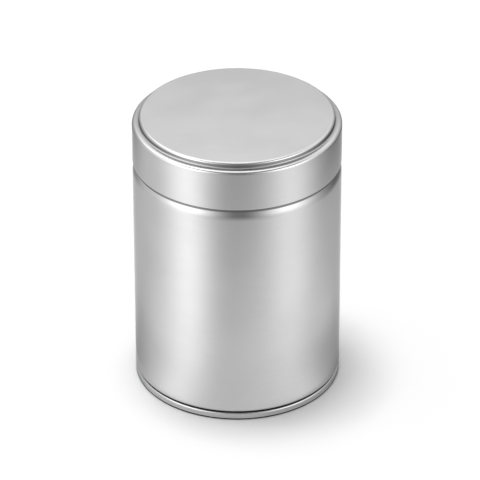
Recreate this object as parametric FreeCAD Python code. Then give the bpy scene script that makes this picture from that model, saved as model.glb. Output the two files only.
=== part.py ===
import FreeCAD, Part
import math
import os

# A round slip-lid tea tin of pressed tinplate, shut, standing on its seam.
#
# Three pieces are turned about Z, the tin's axis, and the origin is at the
# middle of the face that it stands on:
#   body  the rolled wall, drawn in to a shoulder and neck above and to a lip
#         below; the tin is shut, so it is solid up to the neck's top
#   lid   a cap of one sheet, with a raised panel, a ledge, a rounded rim and
#         a skirt whose lower edge is hemmed
#   base  the bottom end, with the seam that grips the body's lip and a panel
#         that stands clear of the table

# ---- Driving dimensions, in millimetres ----

TIN_RADIUS = 38.0  # the wall and the lid's skirt, which lie flush
TIN_HEIGHT = 107.0  # from the table to the lid's panel
SHEET = 0.25  # thickness of the tinplate

# Lid
LID_HEIGHT = 17.8  # from the panel down to the skirt's lower edge
PANEL_RISE = 2.3  # the panel above the ledge round it
LEDGE_WIDTH = 2.8  # from the panel's wall out to the skirt
PANEL_BEND = 0.8  # rounding round the panel
PANEL_FOOT_BEND = 0.4  # where the panel's wall meets the ledge
RIM_BEND = 1.1  # from the ledge over to the skirt
HEM_HEIGHT = 2.5  # sheet folded up inside the skirt

# Body
SHOULDER_BEND = 5.0  # where the wall starts to lean in under the lid
NECK_BEND = 2.6  # where it straightens again into the neck
SHOULDER_DROP = 0.5  # from the hem down to where the neck is upright
NECK_EDGE = 0.4  # bevel round the neck's top
FOOT_BEND = 0.7  # where the wall turns in above the seam
LIP_INSET = 0.75  # from the wall in to the lip that the seam grips
SIDE_SEAM_WIDTH = 0.3  # the line of the wall's lock seam, at the back
SIDE_SEAM_DEPTH = 0.15

# Base
SEAM_HEIGHT = 2.85
SEAM_INSET = 0.05  # the seam's face behind the wall's
SEAM_TOP_BEND = 0.3
SEAM_FOOT_BEND = 0.45
SEAM_INNER_BEND = 0.35
SEAM_GROOVE = 0.6  # open height between the seam and the wall
PANEL_CLEAR = 2.2  # the base's panel above the table
BASE_BEND = 0.8  # from the seam's inner wall to the panel
BEAD_INSET = 5.5  # from the seam's inner wall in to the panel's step
BEAD_STEP = 0.5  # how far the middle of the panel drops
BEAD_RUN = 0.8  # width of the slope between the two levels

# Clearances
LID_SEAT_GAP = 0.15  # from the ledge to the neck's top, which carries the lid
LID_SLIDE_GAP = 0.2  # from the hem's inner ply to the neck
LIP_GAP = 0.05  # round the lip in its seam
FILL_GAP = 0.3  # from the body to the base's panel

# ---- Sizes that follow from them ----

hem_bend = SHEET
hem_radius = TIN_RADIUS - 2 * SHEET
panel_radius = TIN_RADIUS - LEDGE_WIDTH
ledge_z = TIN_HEIGHT - PANEL_RISE
lid_edge_z = TIN_HEIGHT - LID_HEIGHT

neck_radius = hem_radius - LID_SLIDE_GAP
neck_top_z = ledge_z - SHEET - LID_SEAT_GAP
neck_inset = TIN_RADIUS - neck_radius
# Two bends that meet without a straight between them turn through this angle
# while they take the wall from its own radius to the neck's.
shoulder_turn = math.acos(1 - neck_inset / (SHOULDER_BEND + NECK_BEND))
neck_z = lid_edge_z - SHOULDER_DROP - NECK_BEND * math.tan(shoulder_turn / 2)
shoulder_z = neck_z - neck_inset / math.tan(shoulder_turn)

wall_foot_z = SEAM_HEIGHT + SEAM_GROOVE
lip_radius = TIN_RADIUS - LIP_INSET
lip_bore = lip_radius - SHEET
lip_foot_z = SHEET + LIP_GAP
foot_bend = min(FOOT_BEND, LIP_INSET)

seam_radius = TIN_RADIUS - SEAM_INSET
seam_bore = lip_bore - LIP_GAP - SHEET
base_panel_top_z = PANEL_CLEAR + SHEET
bead_radius = seam_bore - BEAD_INSET


# ---- Turned profiles ----


def unit(vector):
    return vector.multiply(1 / vector.Length)


def rounded_corner(before, corner, after, radius):
    """The arc that rounds one corner of an outline, between its two tangent points."""
    back = unit(before - corner)
    ahead = unit(after - corner)
    half_angle = back.getAngle(ahead) / 2
    reach = radius / math.tan(half_angle)
    middle = unit(back + ahead)
    depth = radius / math.sin(half_angle) - radius
    return Part.Arc(corner + back * reach, corner + middle * depth, corner + ahead * reach)


def turned(corners):
    """Turns an outline about Z. Each corner is (radius, height) or (radius, height, bend)."""
    points = [FreeCAD.Vector(corner[0], 0, corner[1]) for corner in corners]
    bends = [corner[2] if len(corner) > 2 else 0 for corner in corners]
    edges = []
    first = None
    pen = None
    for i, point in enumerate(points):
        start = end = point
        if bends[i]:
            arc = rounded_corner(points[i - 1], point, points[(i + 1) % len(points)], bends[i])
            start, end = arc.StartPoint, arc.EndPoint
        if pen is None:
            first = start
        elif not pen.isEqual(start, 1e-6):
            edges.append(Part.LineSegment(pen, start).toShape())
        if bends[i]:
            edges.append(arc.toShape())
        pen = end
    edges.append(Part.LineSegment(pen, first).toShape())
    face = Part.Face(Part.Wire(edges))
    return face.revolve(FreeCAD.Vector(0, 0, 0), FreeCAD.Vector(0, 0, 1), 360)


# ---- The three pieces ----


def make_lid():
    return turned([
        (0, TIN_HEIGHT),
        (panel_radius, TIN_HEIGHT, PANEL_BEND),
        (panel_radius, ledge_z, PANEL_FOOT_BEND),
        (TIN_RADIUS, ledge_z, RIM_BEND),
        (TIN_RADIUS, lid_edge_z, hem_bend),
        (hem_radius, lid_edge_z, hem_bend),
        (hem_radius, lid_edge_z + HEM_HEIGHT),
        (TIN_RADIUS - SHEET, lid_edge_z + HEM_HEIGHT),
        (TIN_RADIUS - SHEET, ledge_z - SHEET, RIM_BEND - SHEET),
        (panel_radius - SHEET, ledge_z - SHEET, PANEL_FOOT_BEND + SHEET),
        (panel_radius - SHEET, TIN_HEIGHT - SHEET, PANEL_BEND - SHEET),
        (0, TIN_HEIGHT - SHEET),
    ])


def make_body():
    wall = turned([
        (0, neck_top_z),
        (neck_radius - NECK_EDGE, neck_top_z),
        (neck_radius, neck_top_z - NECK_EDGE),
        (neck_radius, neck_z, NECK_BEND),
        (TIN_RADIUS, shoulder_z, SHOULDER_BEND),
        (TIN_RADIUS, wall_foot_z, foot_bend),
        (lip_radius, wall_foot_z),
        (lip_radius, lip_foot_z),
        (lip_bore, lip_foot_z),
        (lip_bore, base_panel_top_z + FILL_GAP),
        (0, base_panel_top_z + FILL_GAP),
    ])
    side_seam = Part.makeBox(
        SIDE_SEAM_WIDTH,
        2 * SIDE_SEAM_DEPTH,
        shoulder_z - wall_foot_z,
        FreeCAD.Vector(-SIDE_SEAM_WIDTH / 2, TIN_RADIUS - SIDE_SEAM_DEPTH, wall_foot_z),
    )
    return wall.cut(side_seam).Solids[0]


def make_base():
    return turned([
        (seam_radius, 0, SEAM_FOOT_BEND),
        (seam_bore, 0, SEAM_INNER_BEND),
        (seam_bore, PANEL_CLEAR, BASE_BEND),
        (bead_radius, PANEL_CLEAR),
        (bead_radius - BEAD_RUN, PANEL_CLEAR - BEAD_STEP),
        (0, PANEL_CLEAR - BEAD_STEP),
        (0, base_panel_top_z - BEAD_STEP),
        (bead_radius - BEAD_RUN, base_panel_top_z - BEAD_STEP),
        (bead_radius, base_panel_top_z),
        (seam_bore + SHEET, base_panel_top_z, BASE_BEND + SHEET),
        (seam_bore + SHEET, SHEET),
        (lip_radius + LIP_GAP, SHEET),
        (lip_radius + LIP_GAP, SEAM_HEIGHT),
        (seam_radius, SEAM_HEIGHT, SEAM_TOP_BEND),
    ])


os.makedirs("parts", exist_ok=True)
for name, piece in (("lid", make_lid()), ("body", make_body()), ("base", make_base())):
    piece.exportStep(f"parts/{name}.step")
    box = piece.BoundBox
    print(
        f"{name}: {piece.ShapeType}, valid {piece.isValid()}, {piece.Volume:.1f} mm3, "
        f"radius {box.XMax:.2f}, z {box.ZMin:.2f} to {box.ZMax:.2f}"
    )
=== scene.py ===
# %% [markdown]
# # A slip-lid tea tin in satin tinplate
#
# The tin is three pieces of sheet metal: a wall that is rolled and seamed, a pressed bottom end
# folded round the wall's foot, and a cap that slips over the neck. Every one of them is round, so
# each is drawn once as the outline of its sheet and turned about the tin's axis.
#
# The frame below holds the tin's measured model. Its boxes give the main sizes and the places, so
# that the pieces made here stand exactly where the measured ones do.

# %% Load the measured model
import bpy
import math
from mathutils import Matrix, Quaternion, Vector


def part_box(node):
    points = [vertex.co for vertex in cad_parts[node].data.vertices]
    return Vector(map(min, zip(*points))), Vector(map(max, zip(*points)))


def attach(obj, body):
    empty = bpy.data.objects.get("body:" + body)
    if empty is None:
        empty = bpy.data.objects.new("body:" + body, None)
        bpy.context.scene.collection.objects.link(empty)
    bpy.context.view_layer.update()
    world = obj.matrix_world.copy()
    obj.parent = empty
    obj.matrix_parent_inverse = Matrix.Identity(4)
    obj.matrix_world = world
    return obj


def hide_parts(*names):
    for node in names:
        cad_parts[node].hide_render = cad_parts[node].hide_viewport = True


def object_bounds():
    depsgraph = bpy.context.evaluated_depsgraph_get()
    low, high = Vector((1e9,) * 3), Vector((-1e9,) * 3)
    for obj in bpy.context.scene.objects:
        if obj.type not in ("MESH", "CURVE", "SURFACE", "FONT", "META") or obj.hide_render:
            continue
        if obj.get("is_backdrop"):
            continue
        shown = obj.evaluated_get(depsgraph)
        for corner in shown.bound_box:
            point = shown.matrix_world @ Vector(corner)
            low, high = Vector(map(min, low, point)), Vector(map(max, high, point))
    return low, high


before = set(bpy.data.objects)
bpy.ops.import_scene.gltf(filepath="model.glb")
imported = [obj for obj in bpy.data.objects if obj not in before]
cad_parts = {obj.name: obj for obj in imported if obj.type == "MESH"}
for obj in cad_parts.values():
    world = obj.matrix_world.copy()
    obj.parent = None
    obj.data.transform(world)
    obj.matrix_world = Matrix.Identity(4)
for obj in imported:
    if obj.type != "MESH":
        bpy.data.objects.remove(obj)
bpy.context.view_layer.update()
lid_low, lid_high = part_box("lid")
body_low, body_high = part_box("body")
base_low, base_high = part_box("base")
print("nodes:", ", ".join(sorted(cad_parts)))

# %% Sizes that the pieces share, in metres
MM = 0.001
SHEET = 0.25 * MM
tin_radius = lid_high[0]
tin_height = lid_high[2]
lid_edge_z = lid_low[2]
neck_top_z = body_high[2]
lip_foot_z = body_low[2]
seam_radius = base_high[0]
seam_height = base_high[2]
print("lid's edge at %.1f mm, seam %.2f mm high" % (lid_edge_z / MM, seam_height / MM))

# %% [markdown]
# ## The pen
#
# An outline could be typed in as a list of points, but then every bend would be a guess. Here it is
# drawn the way it would be by hand: a plane is merged to a single vertex, the vertex is extruded for
# each straight run, and the Spin tool carries it round the middle of each bend. Long runs get an
# extra vertex close to each end. It holds the shading of the flat part, which would otherwise fade
# into the bend.

# %% Put the pen down
def put_pen(name, place):
    """Adds an object that is one vertex, at (radius, height), and leaves it in edit mode."""
    bpy.ops.object.select_all(action="DESELECT")
    bpy.ops.mesh.primitive_plane_add(size=SHEET, location=(place.x, 0, place.y))
    piece = bpy.context.object
    piece.name = name
    bpy.ops.object.transform_apply(location=True, rotation=False, scale=False)
    bpy.ops.object.mode_set(mode="EDIT")
    bpy.ops.mesh.select_mode(type="VERT")
    bpy.ops.mesh.select_all(action="SELECT")
    bpy.ops.mesh.merge(type="CENTER")
    return piece


# %% Straight runs
HOLD = 0.12 * MM  # from a bend to the vertex that holds the flat part's shading
LONG_RUN = 4 * HOLD


def run_to(start, end):
    """Extrudes the pen along a straight run, with a holding vertex near each end of a long one."""
    run = end - start
    stops = [end]
    if run.length > LONG_RUN:
        stops = [start + run.normalized() * HOLD, end - run.normalized() * HOLD, end]
    pen = start
    for stop in stops:
        step = stop - pen
        bpy.ops.mesh.extrude_region_move(TRANSFORM_OT_translate={"value": (step.x, 0, step.y)})
        pen = stop


# %% Bends
BEND_STEP = math.radians(7)  # turn of a bend between two vertices


def bend_round(before, corner, after, radius):
    """Finds the arc that rounds a corner: where it starts and ends, its middle and its turn."""
    back = (before - corner).normalized()
    ahead = (after - corner).normalized()
    half_angle = back.angle(ahead) / 2
    reach = radius / math.tan(half_angle)
    middle = corner + (back + ahead).normalized() * (radius / math.sin(half_angle))
    turn = math.pi - 2 * half_angle
    side = -1 if back.x * ahead.y - back.y * ahead.x > 0 else 1
    return corner + back * reach, corner + ahead * reach, middle, side * turn


# %% A whole outline
TOUCHING = 0.001 * MM


def draw_outline(name, corners):
    """Draws an outline of (radius, height) or (radius, height, bend) corners, in edit mode."""
    points = [Vector(corner[:2]) for corner in corners]
    bends = [corner[2] if len(corner) > 2 else 0 for corner in corners]
    stops = []
    for i, point in enumerate(points):
        if bends[i]:
            stops.append(bend_round(points[i - 1], point, points[(i + 1) % len(points)], bends[i]))
        else:
            stops.append((point, point, None, 0))
    piece = put_pen(name, stops[0][0])
    pen = stops[0][0]
    for start, end, middle, turn in stops:
        if (start - pen).length > TOUCHING:
            run_to(pen, start)
        if turn:
            steps = max(2, math.ceil(abs(turn) / BEND_STEP))
            bpy.ops.mesh.spin(steps=steps, angle=turn, center=(middle.x, 0, middle.y), axis=(0, 1, 0))
        pen = end
    # an outline that starts and ends on the axis is closed by the turning
    off_axis = min(points[0].x, points[-1].x) > 0
    if off_axis and (stops[0][0] - pen).length > TOUCHING:
        run_to(pen, stops[0][0])
    print("%s: outline of %d corners" % (name, len(corners)))
    return piece


# %% Turn an outline about the tin's axis
ROUND_STEPS = 256  # faces round the tin
SHARP = math.radians(30)  # a corner turned more than this stays crisp
OUTLINE_MERGE = 0.01 * MM
TURNED_MERGE = 0.002 * MM


def turn_outline(piece):
    """Spins the outline about the tin's axis, closes it and points its faces outwards."""
    bpy.ops.mesh.select_all(action="SELECT")
    bpy.ops.mesh.remove_doubles(threshold=OUTLINE_MERGE)
    bpy.ops.mesh.select_all(action="SELECT")
    bpy.ops.mesh.spin(steps=ROUND_STEPS, angle=2 * math.pi, center=(0, 0, 0), axis=(0, 0, 1))
    bpy.ops.mesh.select_all(action="SELECT")
    bpy.ops.mesh.remove_doubles(threshold=TURNED_MERGE)
    bpy.ops.mesh.normals_make_consistent(inside=False)
    bpy.ops.object.mode_set(mode="OBJECT")
    bpy.ops.object.shade_smooth_by_angle(angle=SHARP)
    low = [min(v.co[i] for v in piece.data.vertices) / MM for i in range(3)]
    high = [max(v.co[i] for v in piece.data.vertices) / MM for i in range(3)]
    print("%s: %d faces, radius %.2f mm, from %.2f to %.2f mm high"
          % (piece.name, len(piece.data.polygons), high[0], low[2], high[2]))


# %% [markdown]
# ## The lid
#
# On the real tin the lid is one disc of tinplate, drawn into a cap in a press. The press gives it a
# raised panel, a ledge round the panel and a rounded rim, and the raw edge of the skirt is folded up
# inside as a hem, so that it is smooth to hold. It could be made from a cylinder with insets and
# bevels, but the sheet's inner side and the hem would be hard to reach. As an outline, both sides of
# the sheet are there at once. The ledge falls a little towards the rim, as pressed ledges do.

# %% Lid
PANEL_RISE = 2.3 * MM  # the panel above the measured ledge
LEDGE_WIDTH = 2.55 * MM  # from the panel's wall out to the skirt
LEDGE_FALL = 0.3 * MM  # from the panel's foot out to the rim
RIM_DROP = 0.1 * MM  # the rim below the measured ledge
PANEL_BEND = 0.8 * MM
PANEL_FOOT_BEND = 0.5 * MM
RIM_BEND = 1.1 * MM
HEM_HEIGHT = 2.5 * MM  # sheet folded up inside the skirt

panel_radius = tin_radius - LEDGE_WIDTH
ledge_z = tin_height - PANEL_RISE
rim_z = ledge_z - RIM_DROP
panel_foot_z = rim_z + LEDGE_FALL
hem_radius = tin_radius - 2 * SHEET

cap = draw_outline("tin_lid", [
    (0, tin_height),
    (panel_radius, tin_height, PANEL_BEND),
    (panel_radius, panel_foot_z, PANEL_FOOT_BEND),
    (tin_radius, rim_z, RIM_BEND),
    (tin_radius, lid_edge_z, SHEET),
    (hem_radius, lid_edge_z, SHEET),
    (hem_radius, lid_edge_z + HEM_HEIGHT),
    (tin_radius - SHEET, lid_edge_z + HEM_HEIGHT),
    (tin_radius - SHEET, rim_z - SHEET, RIM_BEND - SHEET),
    (panel_radius - SHEET, panel_foot_z - SHEET, PANEL_FOOT_BEND + SHEET),
    (panel_radius - SHEET, tin_height - SHEET, PANEL_BEND - SHEET),
    (0, tin_height - SHEET),
])
turn_outline(cap)

# %% [markdown]
# ## The body
#
# The wall is a strip of tinplate rolled to a tube. At the top it is drawn in, in an S of two bends,
# to the neck that the lid slips over, and at the bottom it turns in to a lip for the seam. The two
# bends of the S meet without a straight between them, so the angle they turn through follows from
# how far in the neck lies. The tin is shut and nothing of its inside shows, so the outline goes to
# the axis and the body is solid, as it is in the measured model.

# %% Body
LID_SLIDE_GAP = 0.2 * MM  # from the hem to the neck
SHOULDER_BEND = 9.0 * MM
NECK_BEND = 2.6 * MM
SHOULDER_DROP = 0.5 * MM  # from the hem down to the upright neck
NECK_EDGE = 0.4 * MM  # bevel round the neck's top
FOOT_BEND = 0.7 * MM
LIP_INSET = 0.75 * MM  # from the wall in to the lip
SEAM_GROOVE = 0.6 * MM  # open height between the seam and the wall
FILL_LEVEL = 2.75 * MM  # lowest level of the solid inside

neck_radius = hem_radius - LID_SLIDE_GAP
neck_inset = tin_radius - neck_radius
shoulder_turn = math.acos(1 - neck_inset / (SHOULDER_BEND + NECK_BEND))
neck_z = lid_edge_z - SHOULDER_DROP - NECK_BEND * math.tan(shoulder_turn / 2)
shoulder_z = neck_z - neck_inset / math.tan(shoulder_turn)
wall_foot_z = seam_height + SEAM_GROOVE
lip_radius = tin_radius - LIP_INSET
lip_bore = lip_radius - SHEET
print("shoulder leans in by %.1f degrees" % math.degrees(shoulder_turn))

wall = draw_outline("tin_wall", [
    (0, neck_top_z),
    (neck_radius - NECK_EDGE, neck_top_z),
    (neck_radius, neck_top_z - NECK_EDGE),
    (neck_radius, neck_z, NECK_BEND),
    (tin_radius, shoulder_z, SHOULDER_BEND),
    (tin_radius, wall_foot_z, FOOT_BEND),
    (lip_radius, wall_foot_z),
    (lip_radius, lip_foot_z),
    (lip_bore, lip_foot_z),
    (lip_bore, FILL_LEVEL),
    (0, FILL_LEVEL),
])
turn_outline(wall)

# %% [markdown]
# ## The side seam
#
# Where the two ends of the rolled strip hook together, the wall has one fine upright line, at the
# back of the tin. A line in the material's bump would not be in the mesh, so it is pressed into the
# shape: the upright edges at the back are bevelled into a narrow strip, and the points down the
# strip's middle are moved in.

# %% Side seam
SIDE_SEAM_WIDTH = 0.3 * MM
SIDE_SEAM_DEPTH = 0.15 * MM
NEAR = 0.01 * MM
HALF_HOLD = HOLD / 2

seam_low = wall_foot_z + FOOT_BEND
seam_high = shoulder_z - SHOULDER_BEND * math.tan(shoulder_turn / 2)


def on_seam_line(place):
    return abs(place.x) < NEAR and abs(place.y - tin_radius) < NEAR


bpy.ops.object.select_all(action="DESELECT")
wall.select_set(True)
bpy.context.view_layer.objects.active = wall
bpy.ops.object.mode_set(mode="EDIT")
bpy.ops.mesh.select_mode(type="EDGE")
bpy.ops.mesh.select_all(action="DESELECT")
bpy.ops.object.mode_set(mode="OBJECT")
for side in wall.data.edges:
    side.select = all(on_seam_line(wall.data.vertices[i].co) for i in side.vertices)
bpy.ops.object.mode_set(mode="EDIT")
bpy.ops.mesh.bevel(offset_type="OFFSET", offset=SIDE_SEAM_WIDTH / 2, segments=2, affect="EDGES")
print("side seam: %.1f mm wide" % (SIDE_SEAM_WIDTH / MM))

# %% Press the seam's middle in
bpy.ops.mesh.select_mode(type="VERT")
bpy.ops.mesh.select_all(action="DESELECT")
bpy.ops.object.mode_set(mode="OBJECT")
for point in wall.data.vertices:
    between_ends = seam_low + HALF_HOLD < point.co.z < seam_high - HALF_HOLD
    point.select = on_seam_line(point.co) and between_ends
pressed = sum(point.select for point in wall.data.vertices)
bpy.ops.object.mode_set(mode="EDIT")
bpy.ops.transform.translate(value=(0, -SIDE_SEAM_DEPTH, 0))
bpy.ops.object.mode_set(mode="OBJECT")
print("side seam: %d points pressed in, from %.1f to %.1f mm high"
      % (pressed, seam_low / MM, seam_high / MM))

# %% [markdown]
# ## The base
#
# The bottom end is a pressed disc whose rim is folded over the wall's lip into the seam that the tin
# stands on. Its panel stands clear of the table, with one shallow step that keeps it stiff. The five
# folded layers of the seam can't be seen, so the seam is one ring with a channel for the lip. A disc
# with insets would give the outside only, and here too the outline gives the whole section.

# %% Base
SEAM_TOP_BEND = 0.6 * MM
SEAM_FOOT_BEND = 0.4 * MM
SEAM_INNER_BEND = 0.35 * MM
PANEL_CLEAR = 2.2 * MM  # the panel above the table
BASE_BEND = 0.8 * MM
BEAD_INSET = 5.5 * MM  # from the seam in to the panel's step
BEAD_STEP = 0.5 * MM
BEAD_RUN = 0.8 * MM  # width of the step's slope
LIP_GAP = 0.05 * MM  # between the lip and its channel

seam_bore = lip_bore - LIP_GAP - SHEET
base_panel_top_z = PANEL_CLEAR + SHEET
bead_radius = seam_bore - BEAD_INSET

end = draw_outline("tin_base", [
    (0, base_panel_top_z - BEAD_STEP),
    (bead_radius - BEAD_RUN, base_panel_top_z - BEAD_STEP),
    (bead_radius, base_panel_top_z),
    (seam_bore + SHEET, base_panel_top_z, BASE_BEND + SHEET),
    (seam_bore + SHEET, SHEET),
    (lip_radius + LIP_GAP, SHEET),
    (lip_radius + LIP_GAP, seam_height),
    (seam_radius, seam_height, SEAM_TOP_BEND),
    (seam_radius, 0, SEAM_FOOT_BEND),
    (seam_bore, 0, SEAM_INNER_BEND),
    (seam_bore, PANEL_CLEAR, BASE_BEND),
    (bead_radius, PANEL_CLEAR),
    (bead_radius - BEAD_RUN, PANEL_CLEAR - BEAD_STEP),
    (0, PANEL_CLEAR - BEAD_STEP),
])
turn_outline(end)

# %% [markdown]
# ## In place of the measured pieces
#
# Each piece stands for one node of the measured model, whose own piece is hidden, and rides on the
# tin's only body.

# %% The pieces take the place of the measured model
for piece, node, finish in (
    (cap, "lid", "lid_tinplate"),
    (wall, "body", "wall_tinplate"),
    (end, "base", "base_tinplate"),
):
    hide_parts(node)
    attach(piece, "root")
    print("%s stands for %s, in %s" % (piece.name, node, finish))

# %% [markdown]
# ## Satin tinplate
#
# Tinplate is steel under a thin skin of tin, rolled to a satin. It has hardly a colour of its own, so
# its look is its reflections, and what makes it look real is how they are broken up: a faint grain
# along the rolling direction, soft clouds where hands have been, brighter metal where edges are
# rubbed, which also paints highlights on them, and painted shade in the folds. An image of
# scratches would show its own edges.
# Node groups that read the place on the tin have none, and the same four effects serve every piece.

# %% Maths in a material
def add_math(tree, operation, first, second=None, third=None):
    """Adds a Math node; each value is a number or another node's output."""
    node = tree.nodes.new("ShaderNodeMath")
    node.operation = operation
    for socket, value in zip(node.inputs, (first, second, third)):
        if isinstance(value, (int, float)):
            socket.default_value = value
        elif value is not None:
            tree.links.new(value, socket)
    return node.outputs["Value"]


def add_sum_of_squares(tree, first, second):
    first_squared = add_math(tree, "MULTIPLY", first, first)
    second_squared = add_math(tree, "MULTIPLY", second, second)
    return add_math(tree, "ADD", first_squared, second_squared)


# %% A new node group
def new_group(name, inputs, outputs):
    """Starts a shader node group; every input and output is a number, inputs with a default."""
    group = bpy.data.node_groups.new(name, "ShaderNodeTree")
    for label, amount in inputs.items():
        socket = group.interface.new_socket(label, in_out="INPUT", socket_type="NodeSocketFloat")
        socket.default_value = amount
    for label in outputs:
        group.interface.new_socket(label, in_out="OUTPUT", socket_type="NodeSocketFloat")
    print("group %s: %s -> %s" % (name, ", ".join(inputs) or "no inputs", ", ".join(outputs)))
    return group, group.nodes.new("NodeGroupInput").outputs, group.nodes.new("NodeGroupOutput").inputs


# %% [markdown]
# ### Where a point is on the tin
#
# Everything on a round tin depends on how far a point is from the axis and how high it stands. This
# group gives both in millimetres, so that the values in the effects below read like the sizes above.

# %% Place on the piece
def add_place(tree):
    """Adds the point's own place on the piece, in metres, as a vector and as x, y and z."""
    place = tree.nodes.new("ShaderNodeTexCoord")
    split = tree.nodes.new("ShaderNodeSeparateXYZ")
    tree.links.new(place.outputs["Object"], split.inputs["Vector"])
    return place.outputs["Object"], *split.outputs


# %% Group: tin_place
def build_tin_place():
    group, _, result = new_group("tin_place", {}, ("Radius", "Height"))
    _, x, y, z = add_place(group)
    radius = add_math(group, "SQRT", add_sum_of_squares(group, x, y))
    group.links.new(add_math(group, "DIVIDE", radius, MM), result["Radius"])
    group.links.new(add_math(group, "DIVIDE", z, MM), result["Height"])
    return group


tin_place = build_tin_place()

# %% [markdown]
# ### Rolling grain
#
# The mill's rollers leave lines so fine that only their effect shows: the reflection is drawn out
# across them. On the wall they run round the tin, and on the lid's panel straight across it. A noise
# squeezed in one direction gives such lines, and a second noise, left round, gives the soft clouds of
# handling. A wave texture would repeat evenly, which rolled metal never does.

# %% Noise
def add_noise(tree, place, scale, detail, harshness=0.5):
    noise = tree.nodes.new("ShaderNodeTexNoise")
    noise.inputs["Scale"].default_value = scale
    noise.inputs["Detail"].default_value = detail
    noise.inputs["Roughness"].default_value = harshness
    tree.links.new(place, noise.inputs["Vector"])
    return noise.outputs["Fac"]


# %% Group: rolling_grain
GRAIN_ALONG = 30.0  # noise to the metre along the lines
GRAIN_ACROSS = 3500.0  # and across them
GRAIN_DETAIL = 3.0
GRAIN_HARSHNESS = 0.6
CLOUD_SCALE = 55.0  # soft clouds to the metre
CLOUD_DETAIL = 4.0
CLOUD_HARSHNESS = 0.55


def build_rolling_grain():
    inputs = {"Across Wall": 1.0, "Across Panel": 0.0}
    group, given, result = new_group("rolling_grain", inputs, ("Grain", "Cloud"))
    place, x, y, z = add_place(group)
    squeeze_y = add_math(group, "MULTIPLY_ADD", given["Across Panel"], GRAIN_ACROSS, GRAIN_ALONG)
    squeeze_z = add_math(group, "MULTIPLY_ADD", given["Across Wall"], GRAIN_ACROSS, GRAIN_ALONG)
    squeezed = group.nodes.new("ShaderNodeCombineXYZ")
    group.links.new(add_math(group, "MULTIPLY", x, GRAIN_ALONG), squeezed.inputs["X"])
    group.links.new(add_math(group, "MULTIPLY", y, squeeze_y), squeezed.inputs["Y"])
    group.links.new(add_math(group, "MULTIPLY", z, squeeze_z), squeezed.inputs["Z"])
    lines = add_noise(group, squeezed.outputs["Vector"], 1.0, GRAIN_DETAIL, GRAIN_HARSHNESS)
    clouds = add_noise(group, place, CLOUD_SCALE, CLOUD_DETAIL, CLOUD_HARSHNESS)
    group.links.new(lines, result["Grain"])
    group.links.new(clouds, result["Cloud"])
    return group


rolling_grain = build_rolling_grain()

# %% [markdown]
# ### Rubbed edges and painted highlights
#
# Corners are touched and knocked most, and there the tin is rubbed brighter and smoother. The
# brighter colour also paints highlights along them. Each such corner is a circle round the tin, so how
# near a point is to it can be worked out from its radius and height. A pointiness mask would need a
# far denser mesh. A noise makes the rubbing come and go.

# %% Soft steps, and a group inside a material
def add_ramp(tree, value, low, high, at_low, at_high):
    """Adds a Map Range node that goes smoothly from one value to another."""
    node = tree.nodes.new("ShaderNodeMapRange")
    node.interpolation_type = "SMOOTHSTEP"
    tree.links.new(value, node.inputs["Value"])
    amounts = {"From Min": low, "From Max": high, "To Min": at_low, "To Max": at_high}
    for name, amount in amounts.items():
        if isinstance(amount, (int, float)):
            node.inputs[name].default_value = amount
        else:
            tree.links.new(amount, node.inputs[name])
    return node.outputs["Result"]


def add_group(tree, group, values):
    """Adds a node group and sets its inputs by name."""
    node = tree.nodes.new("ShaderNodeGroup")
    node.node_tree = group
    for name, amount in values.items():
        node.inputs[name].default_value = amount
    return node


# %% Group: edge_rub_and_highlight
PATCH_SCALE = 140.0  # places to the metre where the rubbing comes and goes
PATCH_DETAIL = 3.0
PATCH_SPAN = (0.35, 0.65)  # the values that this noise mostly takes
LEAST_RUB = 0.35


# rubbed edges: smoother, and lighter, which is also a painted highlight
def build_edge_rub_and_highlight():
    inputs = {"Edge Radius": 38.0, "Edge Height": 0.0, "Width": 0.8}
    group, given, result = new_group("edge_rub_and_highlight", inputs, ("Rub And Highlight",))
    here = add_group(group, tin_place, {}).outputs
    out = add_math(group, "SUBTRACT", here["Radius"], given["Edge Radius"])
    up = add_math(group, "SUBTRACT", here["Height"], given["Edge Height"])
    distance = add_math(group, "SQRT", add_sum_of_squares(group, out, up))
    rub_and_highlight = add_ramp(group, distance, 0.0, given["Width"], 1.0, 0.0)
    place = add_place(group)[0]
    patchy = add_noise(group, place, PATCH_SCALE, PATCH_DETAIL)
    worn = add_ramp(group, patchy, *PATCH_SPAN, LEAST_RUB, 1.0)
    group.links.new(add_math(group, "MULTIPLY", rub_and_highlight, worn), result["Rub And Highlight"])
    return group


edge_rub_and_highlight = build_edge_rub_and_highlight()

# %% [markdown]
# ### Painted shade in the folds
#
# Shade falls in the folds: under the lid's edge, in the groove above the seam, round the foot of the
# panel. There the colour is darkened as painted shade, and the metal is made rougher. Those places lie
# further in than the metal round them, so the mask is full inside a given radius, between two
# heights, and fades at its borders.

# %% Group: painted_crevice_shade
# painted shade: a mask of the folds, where the colour is darkened
def build_painted_crevice_shade():
    inputs = {"Radius": 37.45, "Low": -1.0, "High": 200.0, "Fade": 0.1, "Amount": 1.0}
    group, given, result = new_group("painted_crevice_shade", inputs, ("Painted Shade",))
    here = add_group(group, tin_place, {}).outputs
    fade = given["Fade"]
    full_radius = add_math(group, "SUBTRACT", given["Radius"], fade)
    full_low = add_math(group, "SUBTRACT", given["Low"], fade)
    full_high = add_math(group, "ADD", given["High"], fade)
    deep = add_ramp(group, here["Radius"], full_radius, given["Radius"], 1.0, 0.0)
    above = add_ramp(group, here["Height"], full_low, given["Low"], 0.0, 1.0)
    below = add_ramp(group, here["Height"], given["High"], full_high, 1.0, 0.0)
    painted_shade = add_math(group, "MULTIPLY", deep, add_math(group, "MULTIPLY", above, below))
    group.links.new(add_math(group, "MULTIPLY", painted_shade, given["Amount"]), result["Painted Shade"])
    return group


painted_crevice_shade = build_painted_crevice_shade()
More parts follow.
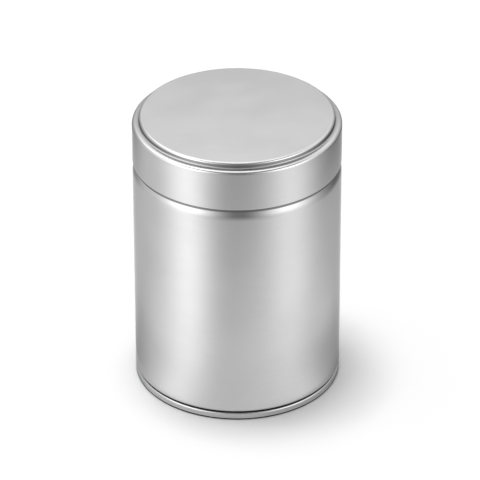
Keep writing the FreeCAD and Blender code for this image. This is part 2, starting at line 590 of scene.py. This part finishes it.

# %% [markdown]
# ### The metal
#
# One recipe makes all four finishes. The metal's shade is the skin of tin, a little lighter where it
# is rubbed, which also paints highlights on the edges, and nearly black in the folds, which is painted
# shade. Its roughness follows the grain and the clouds, and a very shallow bump lets the grain catch
# the light. On the wall the lines also draw the reflections out up and down, which the shader's
# anisotropy gives, with its direction taken round the tin.

# %% The strongest of several effects
def add_strongest(tree, group, name, rows):
    """Adds one node of a group for each row of values, and keeps the largest output."""
    strongest = None
    for values in rows:
        amount = add_group(tree, group, values).outputs[name]
        strongest = amount if strongest is None else add_math(tree, "MAXIMUM", strongest, amount)
    return strongest


def edge(radius, height, width):
    return {"Edge Radius": radius, "Edge Height": height, "Width": width}


def fold(radius, low, high, fade, amount):
    return {"Radius": radius, "Low": low, "High": high, "Fade": fade, "Amount": amount}


# %% Colour of the metal
GRAIN_SPAN = (0.3, 0.7)  # the values that the grain's noise mostly takes
CLOUD_SPAN = (0.35, 0.65)
GRAIN_TONE = 0.01  # how far the grain changes the shade, as a share of it
CLOUD_TONE = 0.015
# rubbed edges are lighter, which also paints highlights along them
RUB_AND_HIGHLIGHT_LIGHTENS = 0.12


def add_grey(tree, tone):
    color = tree.nodes.new("ShaderNodeCombineColor")
    for channel in ("Red", "Green", "Blue"):
        tree.links.new(tone, color.inputs[channel])
    return color.outputs["Color"]


def add_metal_color(tree, shade, grain, rub_and_highlight):
    """The tin's shade, hardly changed by grain and clouds, and lighter where it is rubbed, as a
    painted highlight too.
    """
    darker = shade * (1 - GRAIN_TONE)
    lighter = shade * (1 + GRAIN_TONE)
    tone = add_ramp(tree, grain["Grain"], *GRAIN_SPAN, darker, lighter)
    cloud = add_ramp(tree, grain["Cloud"], *CLOUD_SPAN, 1 - CLOUD_TONE, 1 + CLOUD_TONE)
    tone = add_math(tree, "MULTIPLY", tone, cloud)
    # wear and painted highlight: the rubbed edges are lighter
    if rub_and_highlight is not None:
        tone = add_math(tree, "MULTIPLY_ADD", rub_and_highlight, RUB_AND_HIGHLIGHT_LIGHTENS, tone)
    return add_grey(tree, tone)


# painted shade: in the folds the colour goes towards a near-black tone
def add_painted_shade_color(tree, color, painted_shade, painted_shade_tone):
    mix = tree.nodes.new("ShaderNodeMix")
    mix.data_type = "RGBA"
    mix.inputs["B"].default_value = (painted_shade_tone, painted_shade_tone, painted_shade_tone, 1)
    tree.links.new(painted_shade, mix.inputs["Factor"])
    tree.links.new(color, mix.inputs["A"])
    return mix.outputs["Result"]


# %% Roughness of the metal
ROUGH_VALLEY = 0.225  # roughness in the grain's lines
ROUGH_CREST = 0.205  # and between them
HANDLED_SPAN = (0.4, 0.7)  # clouds from clean to handled metal
CLOUD_SMOOTHS = 0.01
CLOUD_ROUGHENS = 0.03
RUB_SMOOTHS = 0.06
# the folds with painted shade are also made rougher
CREVICE_ROUGHENS = 0.3


def add_metal_roughness(tree, grain, rub_and_highlight, painted_shade):
    rough = add_ramp(tree, grain["Grain"], *GRAIN_SPAN, ROUGH_VALLEY, ROUGH_CREST)
    cloud = add_ramp(tree, grain["Cloud"], *HANDLED_SPAN, -CLOUD_SMOOTHS, CLOUD_ROUGHENS)
    rough = add_math(tree, "ADD", rough, cloud)
    if rub_and_highlight is not None:
        rough = add_math(tree, "MULTIPLY_ADD", rub_and_highlight, -RUB_SMOOTHS, rough)
    # the folds with painted shade are rougher
    if painted_shade is not None:
        rough = add_math(tree, "MULTIPLY_ADD", painted_shade, CREVICE_ROUGHENS, rough)
    return rough


# %% Grain in the metal's surface
GRAIN_DEPTH = 0.01 * MM
GRAIN_BUMP = 0.03
WALL_STRETCH = 0.3  # how far the wall's reflections are drawn out
QUARTER_TURN = 0.25  # lays them up and down


def lay_grain(tree, shader, grain):
    bump = tree.nodes.new("ShaderNodeBump")
    bump.inputs["Strength"].default_value = GRAIN_BUMP
    bump.inputs["Distance"].default_value = GRAIN_DEPTH
    tree.links.new(grain["Grain"], bump.inputs["Height"])
    tree.links.new(bump.outputs["Normal"], shader.inputs["Normal"])


def draw_out_reflections(tree, shader):
    shader.inputs["Anisotropic"].default_value = WALL_STRETCH
    shader.inputs["Anisotropic Rotation"].default_value = QUARTER_TURN
    round_tin = tree.nodes.new("ShaderNodeTangent")
    round_tin.direction_type = "RADIAL"
    round_tin.axis = "Z"
    tree.links.new(round_tin.outputs["Tangent"], shader.inputs["Tangent"])


# %% Tinplate
EDGE_TINT = (0.5, 0.5, 0.5, 1)  # keeps the metal from going white where it is seen at a slant


def tinplate(name, shade, grain_across, edges, folds=(), painted_shade_tone=0.03):
    """Builds a satin tinplate material; grain_across is Wall or Panel."""
    material = bpy.data.materials.new(name)
    material.use_nodes = True
    tree = material.node_tree
    shader = tree.nodes["Principled BSDF"]
    shader.inputs["Metallic"].default_value = 1
    shader.inputs["Specular Tint"].default_value = EDGE_TINT
    across = {"Across Wall": 0.0, "Across Panel": 0.0}
    across["Across " + grain_across] = 1.0
    grain = add_group(tree, rolling_grain, across).outputs
    # rubbed edges, whose lighter colour is also a painted highlight
    rub_and_highlight = add_strongest(tree, edge_rub_and_highlight, "Rub And Highlight", edges)
    # painted shade in the folds
    painted_shade = add_strongest(tree, painted_crevice_shade, "Painted Shade", folds)
    color = add_metal_color(tree, shade, grain, rub_and_highlight)
    # painted shade: the folds' colour is darkened
    if painted_shade is not None:
        color = add_painted_shade_color(tree, color, painted_shade, painted_shade_tone)
    tree.links.new(color, shader.inputs["Base Color"])
    tree.links.new(add_metal_roughness(tree, grain, rub_and_highlight, painted_shade), shader.inputs["Roughness"])
    lay_grain(tree, shader, grain)
    if grain_across == "Wall":
        draw_out_reflections(tree, shader)
    print("%s: %d rubbed edges with painted highlights, %d folds with painted shade" % (name, len(edges), len(folds)))
    return material


# %% [markdown]
# ### The four finishes
#
# Sizes in these lists are in millimetres on the tin. The lid has two finishes, because its grain runs
# straight over the panel and round the rim and skirt.

# %% Lid's finishes
TIN = tin_radius / MM
TOP = tin_height / MM
PANEL = panel_radius / MM
LEDGE = ledge_z / MM
LID_EDGE = lid_edge_z / MM

lid_side = tinplate(
    "lid_side_tinplate", 0.58, "Wall",
    # rubbed edges, whose lighter colour also paints highlights on the panel's edge, the rim and the
    # hem
    edges=[edge(PANEL, TOP, 0.9), edge(TIN, LEDGE, 1.2), edge(TIN, LID_EDGE, 0.5)],
    # painted shade: the colour is darkened in these folds, where shade falls
    folds=[
        fold(TIN - 0.48, 0, LEDGE - 1, 0.1, 1.0),  # behind the skirt
        fold(PANEL + 1.2, LEDGE - 1, LEDGE + 0.7, 0.6, 0.2),  # along the ledge
        fold(PANEL + 0.5, LEDGE + 0.6, LEDGE + 1.5, 0.25, 0.5),  # on the panel's step
    ],
)
# the panel's rubbed edge, whose lighter colour is also a painted highlight
lid_panel = tinplate("lid_panel_tinplate", 0.60, "Panel", edges=[edge(PANEL, TOP, 1.5)])

# %% Lid's faces
UPWARD = 0.999  # a face whose normal rises this much is flat

cap.data.materials.append(lid_side)
cap.data.materials.append(lid_panel)
flat_faces = 0
for face in cap.data.polygons:
    if face.normal.z > UPWARD and face.center.z > tin_height - SHEET / 2:
        face.material_index = 1
        flat_faces += 1
print("lid: %d faces of the panel have straight grain" % flat_faces)

# %% Wall's finish
SIDE_SEAM_TOP = seam_high / MM
SIDE_SEAM_FOOT = seam_low / MM

wall_side = tinplate(
    "wall_tinplate", 0.58, "Wall",
    edges=[],
    # painted shade: the colour is darkened where the wall turns in above the seam and on the neck
    # under the lid, and the side seam's groove is darker too
    folds=[
        fold(TIN - 0.08, -1, 20, 0.35, 1.0),  # where the wall turns in above the seam
        fold(TIN - 0.03, SIDE_SEAM_FOOT, SIDE_SEAM_TOP - 1.4, 0.07, 0.7),  # in the side seam
        fold(TIN - 0.55, 20, TOP, 0.1, 0.7),  # on the neck, under the lid
    ],
)
wall.data.materials.append(wall_side)

# %% Base's finish
SEAM = seam_radius / MM
SEAM_TOP = seam_height / MM

base_ring = tinplate(
    "base_tinplate", 0.57, "Wall",
    # rubbed edges, whose lighter colour also paints highlights on the seam's two bends
    edges=[edge(SEAM, SEAM_TOP, 0.5), edge(SEAM, 0.0, 0.6)],
    # painted shade: darkened in the channel, and a painted contact shadow at the foot along the table
    folds=[
        fold(TIN - 0.5, 0.5, SEAM_TOP + 1, 0.1, 1.0),  # in the channel
        fold(TIN + 1, -1, 0.6, 0.1, 1.0),  # at the foot, along the table
    ],
    painted_shade_tone=0.02,
)
end.data.materials.append(base_ring)

# %% [markdown]
# ## The camera
#
# A long lens from well away keeps the tin's sides nearly parallel, as for a catalogue, and the
# camera looks down on it by about 31 degrees, so that the lid and the wall both show. It is turned
# onto its aim with a quaternion, and the small roll is given about its own axis. The same roll in the
# Euler angles would also swing the view to the side.

# %% Camera
VIEW_HEIGHT = math.radians(31.1)
VIEW_DISTANCE = 1.4245
VIEW_ROLL = math.radians(-0.1)
VIEW_LENS = 290.6  # in millimetres
camera_aim = Vector((1.0 * MM, 0, 54.1 * MM))

bpy.ops.object.camera_add()
camera = bpy.context.object
camera.name = "camera"
camera.data.lens = VIEW_LENS
outward = Vector((0, -math.cos(VIEW_HEIGHT), math.sin(VIEW_HEIGHT)))
camera.location = camera_aim + outward * VIEW_DISTANCE
facing = outward.to_track_quat("Z", "Y")
camera.rotation_euler = (facing @ Quaternion((0, 0, 1), VIEW_ROLL)).to_euler()
bpy.context.scene.camera = camera
print("camera: %.0f mm lens, %.2f m away" % (camera.data.lens, VIEW_DISTANCE))

# %% [markdown]
# ## The floor
#
# A sheet of matt white paper that runs on past the view. It is white by its own colour, in even light,
# and so it still takes the tin's soft shadow.

# %% Floor
PAPER_WHITE = 0.85
PAPER_ROUGHNESS = 0.9
PAPER_WIDTH = 6.0

bpy.ops.object.select_all(action="DESELECT")
bpy.ops.mesh.primitive_plane_add(size=PAPER_WIDTH, location=(0, 0, 0))
floor = bpy.context.object
floor.name = "studio_floor"
paper = bpy.data.materials.new("white_paper")
paper.use_nodes = True
paper_shader = paper.node_tree.nodes["Principled BSDF"]
paper_shader.inputs["Base Color"].default_value = (PAPER_WHITE, PAPER_WHITE, PAPER_WHITE, 1)
paper_shader.inputs["Roughness"].default_value = PAPER_ROUGHNESS
paper_shader.inputs["Specular IOR Level"].default_value = 0
floor.data.materials.append(paper)
floor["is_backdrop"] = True
print("floor: white paper, %.0f m across" % floor.dimensions.x)

# %% [markdown]
# ## The lamps
#
# The room's even light does most of the work. One small high lamp, a little to the left and behind,
# draws the shadow to the right of the tin, and a faint one from the left softens it. The lamps aren't
# seen in the metal, because a bare square in it would look like a sticker. The tent below is.

# %% Lamps
def hang_lamp(name, azimuth, height, size, level):
    """Hangs a square softbox 1 m away; level is its face's brightness, and a white card's is 1."""
    turn = math.radians(azimuth)
    lift = math.radians(height)
    reach = math.cos(lift)
    place = Vector((math.sin(turn) * reach, -math.cos(turn) * reach, math.sin(lift)))
    bpy.ops.object.light_add(type="AREA", location=place)
    lamp = bpy.context.object
    lamp.name = name
    lamp.rotation_euler = place.to_track_quat("Z", "Y").to_euler()
    lamp.data.shape = "SQUARE"
    lamp.data.size = size
    lamp.data.energy = level * math.pi * size * size
    lamp.visible_glossy = False
    lamp.visible_camera = False
    print("%s: %.2f W" % (name, lamp.data.energy))


hang_lamp("high_lamp", azimuth=-120, height=85, size=0.2, level=35.0)
hang_lamp("left_lamp", azimuth=-90, height=30, size=0.4, level=0.8)

# %% Room
ROOM_LEVEL = 0.8

world = bpy.data.worlds.new("pale_room")
world.use_nodes = True
room = world.node_tree.nodes["Background"]
room.inputs["Color"].default_value = (1, 1, 1, 1)
room.inputs["Strength"].default_value = ROOM_LEVEL
bpy.context.scene.world = world
print("room: white light of %.1f from all round" % ROOM_LEVEL)

# %% [markdown]
# ## The tent
#
# Bright metal is lit by what it mirrors, so a studio puts it in a tent of white cloth and lights the
# cloth from outside in soft patches. Here the tent is a turned shell round the tin and over the floor.
# Only the metal sees it: it throws no light on the floor, casts no shadow, and the camera looks
# through it. Each patch is a group with a soft edge: it has a direction round the tin, a spread, and a
# lowest and highest angle as seen from the tin's middle. The front stays darker, where the camera is.

# %% Tent
TENT_RADIUS = 0.8
TENT_HEIGHT = 1.4
TENT_HEM = 42.5 * MM  # the cloth comes this near to the tin's axis
TENT_FLOOR = 1 * MM

tent = draw_outline("light_tent", [
    (TENT_HEM, TENT_FLOOR),
    (TENT_RADIUS, TENT_FLOOR),
    (TENT_RADIUS, TENT_HEIGHT),
    (0, TENT_HEIGHT),
])
turn_outline(tent)
tent.visible_camera = False
tent.visible_diffuse = False
tent.visible_shadow = False
tent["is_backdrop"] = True

# %% Group: soft_patch
TIN_MIDDLE = 55 * MM


def add_bell(tree, x, y, azimuth, spread):
    """1 in one direction round the tin, falling off softly to both sides."""
    turn = add_math(tree, "ARCTAN2", x, add_math(tree, "MULTIPLY", y, -1.0))
    away = add_math(tree, "SUBTRACT", turn, add_math(tree, "RADIANS", azimuth))
    away = add_math(tree, "DEGREES", add_math(tree, "WRAP", away, math.pi, -math.pi))
    away = add_math(tree, "DIVIDE", away, spread)
    square = add_math(tree, "MULTIPLY", away, away)
    return add_math(tree, "EXPONENT", add_math(tree, "MULTIPLY", square, -1.0))


def add_band(tree, value, low, high, fade):
    """1 between two values, with a soft step at each."""
    ends = []
    for middle in (low, high):
        ends.append(add_math(tree, "SUBTRACT", middle, fade))
        ends.append(add_math(tree, "ADD", middle, fade))
    above = add_ramp(tree, value, ends[0], ends[1], 0.0, 1.0)
    below = add_ramp(tree, value, ends[2], ends[3], 1.0, 0.0)
    return add_math(tree, "MULTIPLY", above, below)


def build_soft_patch():
    inputs = {"Azimuth": 0.0, "Spread": 30.0, "Low": 0.0, "High": 90.0, "Fade": 6.0, "Level": 1.0}
    group, given, result = new_group("soft_patch", inputs, ("Glow",))
    _, x, y, z = add_place(group)
    reach = add_math(group, "SQRT", add_sum_of_squares(group, x, y))
    rise = add_math(group, "SUBTRACT", z, TIN_MIDDLE)
    angle = add_math(group, "DEGREES", add_math(group, "ARCTAN2", rise, reach))
    bell = add_bell(group, x, y, given["Azimuth"], given["Spread"])
    band = add_band(group, angle, given["Low"], given["High"], given["Fade"])
    glow = add_math(group, "MULTIPLY", bell, band)
    group.links.new(add_math(group, "MULTIPLY", glow, given["Level"]), result["Glow"])
    return group


soft_patch = build_soft_patch()

# %% [markdown]
# ### The patches
#
# Their directions and heights were chosen one by one. More than half of their levels are the rounded
# values of a separate least-squares program, which balanced the patches against each other. The rest
# were typed in or changed one by one, with an eye on that fit too. Someone who lights another tin
# would do better to start with four or five patches and add to them.

# %% Patches of light
ALL_ROUND = 1000  # a spread so wide that the patch is the same in every direction
PATCHES = (
    # name, azimuth, spread, lowest, highest, fade, level
    ("fill", 0, ALL_ROUND, -90, 100, 5, 0.11),
    ("left_nearest", -44, 24, -90, -37, 4, 0.95),
    ("left_near", -44, 24, -37, -27, 4, 1.05),
    ("left_mid", -46, 25, -27, -18, 4, 1.2),
    ("left_low", -50, 26, -18, -8, 4, 1.2),
    ("left_high", -50, 27, -8, 38, 4, 2),
    ("left_wide_nearest", -80, 28, -90, -37, 4, 0.55),
    ("left_wide_near", -80, 28, -37, -27, 4, 0.75),
    ("left_wide_mid", -82, 30, -27, -18, 4, 0.65),
    ("left_wide_low", -85, 32, -18, 5, 4, 0.6),
    ("left_wide_high", -85, 32, 5, 38, 8, 0.75),
    ("right_nearest", 49, 27, -90, -37, 4, 0.68),
    ("right_near", 50, 28, -37, -27, 4, 0.8),
    ("right_mid", 54, 30, -27, -18, 4, 1),
    ("right_low", 57, 30, -18, -8, 4, 1),
    ("right_high", 54, 27, -8, 38, 4, 1.85),
    ("right_wide_nearest", 90, 26, -90, -37, 4, 0.35),
    ("right_wide_near", 90, 26, -37, -27, 4, 0.6),
    ("right_wide_mid", 90, 26, -27, -18, 4, 0.36),
    ("right_wide_low", 92, 22, -18, 5, 8, 0.22),
    ("right_wide_high", 95, 32, 10, 45, 8, 0.6),
    ("back_near", 180, 50, -90, -27, 5, 2),
    ("back_low", 180, 50, -27, -16, 4, 1.5),
    ("back_level", 180, 34, -16, -6, 3, 1.1),
    ("back_far", 180, 60, -2, 20, 6, 0.7),
    ("back_mid", 180, 60, 20, 34, 6, 0.7),
    ("back_high", 180, 80, 34, 50, 6, 1.3),
    ("back_top", 180, 80, 50, 70, 6, 1.5),
    ("left_back_low", -125, 28, -90, -16, 4, 0.45),
    ("left_back_level", -115, 20, -16, 5, 4, 0.4),
    ("left_back_high", -110, 50, 38, 75, 8, 1.2),
    ("right_back_low", 122, 24, -90, -16, 4, 0.35),
    ("overhead", 0, ALL_ROUND, 66, 100, 5, 1.25),
    ("front_near", 5, 38, -90, -25, 5, 0.65),
    ("front_mid", 5, 38, -25, -17, 4, 0.5),
    ("front_far", 5, 38, -17, -10, 3, 0.35),
    ("front_high", 0, 70, 14, 32, 5, 0.22),
)

# %% Tent's cloth
cloth = bpy.data.materials.new("tent_cloth")
cloth.use_nodes = True
tree = cloth.node_tree
tree.nodes.clear()
total = None
for name, azimuth, spread, low, high, fade, level in PATCHES:
    place = {"Azimuth": azimuth, "Spread": spread, "Low": low, "High": high}
    patch = add_group(tree, soft_patch, {**place, "Fade": fade, "Level": level})
    patch.name = name
    glow = patch.outputs["Glow"]
    total = glow if total is None else add_math(tree, "ADD", total, glow)
emission = tree.nodes.new("ShaderNodeEmission")
tree.links.new(add_grey(tree, total), emission.inputs["Color"])
surface = tree.nodes.new("ShaderNodeOutputMaterial")
tree.links.new(emission.outputs["Emission"], surface.inputs["Surface"])
tent.data.materials.append(cloth)
print("tent: %d patches of light" % len(PATCHES))

# %% [markdown]
# ## Sizes
#
# The pieces have to be as large as the measured model. The box round the pieces that are shown is
# printed.

# %% View setting and sizes
bpy.context.scene.view_settings.view_transform = "Standard"
low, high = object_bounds()
print("visual box:", [round(v, 5) for v in (*low, *high)])
